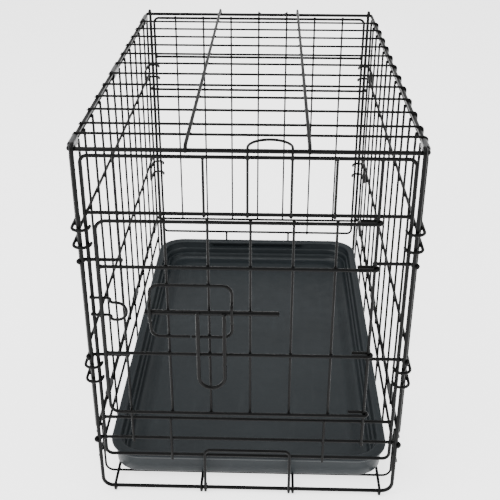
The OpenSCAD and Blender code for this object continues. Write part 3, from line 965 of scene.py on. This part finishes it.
# ---------------------------------------------------------------- tray stop
STOP_X = span("tray_stop", 0) / 2 - HOOK_R
STOP_H = 51.5
STOP_LEAN = math.radians(-5)


def stop_path():
    """Bracket with an eye at each foot, leaning a little to the front."""
    def leg(s):
        return arc("yz", (s * STOP_X, 0, 0), BAR_EYE, 430, -250, 18)
    top = rounded([(-STOP_X, -BAR_EYE, 0), (-STOP_X, -BAR_EYE, STOP_H),
                   (STOP_X, -BAR_EYE, STOP_H), (STOP_X, -BAR_EYE, 0)],
                  STOP_CORNER)
    path = chain(leg(-1), top, leg(1)[::-1])
    lean = Matrix.Rotation(STOP_LEAN, 3, "X")
    return [lean @ p + Vector((0, -FAR_Y, BAR_Z)) for p in path]


part = Wires()
part.wire(stop_path(), HOOK_R)
part.build("tray_stop_wire", WIRE, "stop", "black_wire", "tray_stop")


# ---------------------------------------------------------------- door
def eye_end(z):
    """Door bar's end: round the door post, then back behind the bar."""
    reach = DOOR_Y - POST_Y
    turn = arc("xy", (POST_X, -POST_Y, z), reach, -90, 180, 16)
    return chain(turn, [(POST_X - EYE_TAIL, -POST_Y + reach, z)])


part = Wires()
free = rounded([(POST_X, -DOOR_Y, DOOR_TOP), (-DOOR_FREE_X, -DOOR_Y, DOOR_TOP),
                (-DOOR_FREE_X, -DOOR_Y, DOOR_BOTTOM),
                (POST_X, -DOOR_Y, DOOR_BOTTOM)], DOOR_CORNER)
part.wire(chain(eye_end(DOOR_TOP)[::-1], free, eye_end(DOOR_BOTTOM)), RAIL_R)
part.build("door_frame_wire", WIRE, "door", "black_wire", "door_frame")

part = Wires()
for z in DOOR_RAIL_ZS:
    free_end = (-DOOR_FREE_X + RAIL_R - SINK, -DOOR_Y, z)
    part.wire(chain([free_end], eye_end(z)), RAIL_R)
    part.weld((-DOOR_FREE_X + RAIL_R, -DOOR_Y, z), X, Z, RAIL_R, RAIL_R)
part.build("door_rail_wires", WIRE, "door", "black_wire", "door_rails")

part = Wires()
for k in range(-2, 3):
    x = DOOR_OFF + k * END_PITCH
    part.wire([(x, -DOOR_UP_Y, DOOR_BOTTOM - STUB),
               (x, -DOOR_UP_Y, DOOR_TOP + STUB)], MESH_R)
    for z in DOOR_RAIL_ZS + (DOOR_TOP, DOOR_BOTTOM):
        part.weld((x, -DOOR_Y + RAIL_R, z), Z, X, MESH_R, RAIL_R)
part.build("door_upright_wires", WIRE, "door", "black_wire", "door_uprights")

# Guide: a rounded loop whose sides bow out over the bolt
GUIDE_Y = DOOR_UP_Y + MESH_R + HOOK_R - WELD
GUIDE_OUT = BOLT_Y + BOLT_R + HOOK_R + PLAY
GUIDE_STEP = (GUIDE_OUT - GUIDE_Y) / 2
GUIDE_FLAT = 7.5
GUIDE_X = (edge("bolt_guide", 0, 0) + HOOK_R, edge("bolt_guide", 0, 1) - HOOK_R)
GUIDE_ZS = (edge("bolt_guide", 2, 0) + HOOK_R, edge("bolt_guide", 2, 1) - HOOK_R)
GUIDE_GAP = -56.3
GUIDE_GAP_HALF = 0.7
# Ends of the handle's two legs, above the bolt's middle
GRIP_ENDS = (2.5, 1.0)
BOLT_BEVEL = 0.2


def guide_bow(x):
    """Bowed middle of a guide's side, from the bottom up."""
    out, inn = -GUIDE_OUT + GUIDE_STEP, -GUIDE_Y - GUIDE_STEP
    low, top = BOLT_Z - GUIDE_FLAT, BOLT_Z + GUIDE_FLAT
    rise = 2 * GUIDE_STEP
    return chain(arc("yz", (x, inn, low - rise), GUIDE_STEP, 0, 90, 6),
                 arc("yz", (x, out, low), GUIDE_STEP, 270, -90, 6),
                 arc("yz", (x, out, top), GUIDE_STEP, 180, -90, 6),
                 arc("yz", (x, inn, top + rise), GUIDE_STEP, 270, 90, 6))


def guide_corner(x, z, sx, sz, start):
    """Corner of the guide's loop, turning clockwise from an angle."""
    centre = (x - sx * GUIDE_ROUND, -GUIDE_Y, z - sz * GUIDE_ROUND)
    return arc("xz", centre, GUIDE_ROUND, start, -90, 7)


part = Wires()
left, right = GUIDE_X
low, high = GUIDE_ZS
part.wire(chain([(GUIDE_GAP - GUIDE_GAP_HALF, -GUIDE_Y, low)],
                guide_corner(left, low, -1, -1, 270),
                guide_bow(left),
                guide_corner(left, high, -1, 1, 180),
                guide_corner(right, high, 1, 1, 90),
                guide_bow(right)[::-1],
                guide_corner(right, low, 1, -1, 360),
                [(GUIDE_GAP + GUIDE_GAP_HALF, -GUIDE_Y, low)]), HOOK_R)
for k in (-2, -1):
    for z in GUIDE_ZS:
        part.weld((DOOR_OFF + k * END_PITCH, -GUIDE_Y + HOOK_R, z),
                  Z, X, MESH_R, HOOK_R)
part.build("bolt_guide_wire", WIRE, "door", "black_wire", "bolt_guide")

part = Wires()
part.wire([(edge("slide_bolt", 0, 0), -BOLT_Y, BOLT_Z),
           (edge("slide_bolt", 0, 1), -BOLT_Y, BOLT_Z)], BOLT_R, BOLT_SIDES,
          bevel=BOLT_BEVEL)
part.build("slide_bolt_rod", BAR, "bolt", "black_bar", "slide_bolt")

part = Wires()
grip_low = edge("bolt_handle", 2, 0) + GRIP_R + GRIP_HALF
part.wire(chain([(GRIP_X - GRIP_HALF, -GRIP_Y, BOLT_Z + GRIP_ENDS[0])],
                arc("xz", (GRIP_X, -GRIP_Y, grip_low), GRIP_HALF, 180, 180, 16),
                [(GRIP_X + GRIP_HALF, -GRIP_Y, BOLT_Z + GRIP_ENDS[1])]),
          GRIP_R, GRIP_SIDES)
part.build("bolt_handle_wire", BAR, "handle", "black_bar", "bolt_handle")


# ---------------------------------------------------------------- studio
FLOOR_REACH = 12.0
FLOOR_GLOW = 2.2
LENS_MM = 62.8344
CAMERA_PLACE = (0.02204, -1.01096, 0.68920)
CAMERA_TURN = (-1.518, 27.678, 0.153)


def floor_material():
    """Plain white floor that glows a little, so that it stays even."""
    mat, tree, shader = new_material("studio_floor_white")
    coords = tree.nodes.new("ShaderNodeTexCoord")
    cloud = noise_node(tree, coords, 3, 3)
    tone = ramp_node(tree, cloud.outputs["Fac"],
                     [(0.3, (0.92, 0.92, 0.92, 1)), (0.7, (0.94, 0.94, 0.94, 1))])
    tree.links.new(tone.outputs["Color"], shader.inputs["Base Color"])
    tree.links.new(tone.outputs["Color"], shader.inputs["Emission Color"])
    shader.inputs["Emission Strength"].default_value = FLOOR_GLOW
    shader.inputs["Roughness"].default_value = 0.8
    return mat


floor = bpy.data.objects.new("studio_floor", bpy.data.meshes.new("studio_floor"))
floor.data.from_pydata([(-FLOOR_REACH, -FLOOR_REACH, 0), (FLOOR_REACH, -FLOOR_REACH, 0),
                        (FLOOR_REACH, FLOOR_REACH, 0), (-FLOOR_REACH, FLOOR_REACH, 0)],
                       [], [(0, 1, 2, 3)])
floor.data.materials.append(floor_material())
bpy.context.scene.collection.objects.link(floor)

world = bpy.data.worlds.new("studio_world")
world.use_nodes = True
world.node_tree.nodes["Background"].inputs["Color"].default_value = (1, 1, 1, 1)
world.node_tree.nodes["Background"].inputs["Strength"].default_value = 1.0
bpy.context.scene.world = world


def soft_light(name, place, target, size, power):
    """Square area light aimed at a point; places in metres, power in watts."""
    lamp = bpy.data.lights.new(name, "AREA")
    lamp.shape = "SQUARE"
    lamp.size = size
    lamp.energy = power
    ob = bpy.data.objects.new(name, lamp)
    ob.location = place
    aim = Vector(target) - Vector(place)
    ob.rotation_euler = aim.to_track_quat("-Z", "Y").to_euler()
    bpy.context.scene.collection.objects.link(ob)


soft_light("key_light", (-1.3, -1.2, 2.2), (0, 0, 0.2), 1.4, 55)
soft_light("fill_light", (1.8, -1.0, 1.6), (0, 0, 0.2), 1.8, 16)
soft_light("top_light", (0.0, 0.3, 2.6), (0, 0, 0.2), 1.6, 30)

camera = bpy.data.cameras.new("camera")
camera.sensor_width = 36.0
camera.lens = LENS_MM
camera.clip_end = 50
eye = bpy.data.objects.new("camera", camera)
yaw, pitch, roll = (math.radians(a) for a in CAMERA_TURN)
eye.matrix_world = (Matrix.Translation(CAMERA_PLACE)
                    @ Matrix.Rotation(-yaw, 4, "Z")
                    @ Matrix.Rotation(math.pi / 2 - pitch, 4, "X")
                    @ Matrix.Rotation(roll, 4, "Z"))
bpy.context.scene.collection.objects.link(eye)
bpy.context.scene.camera = eye
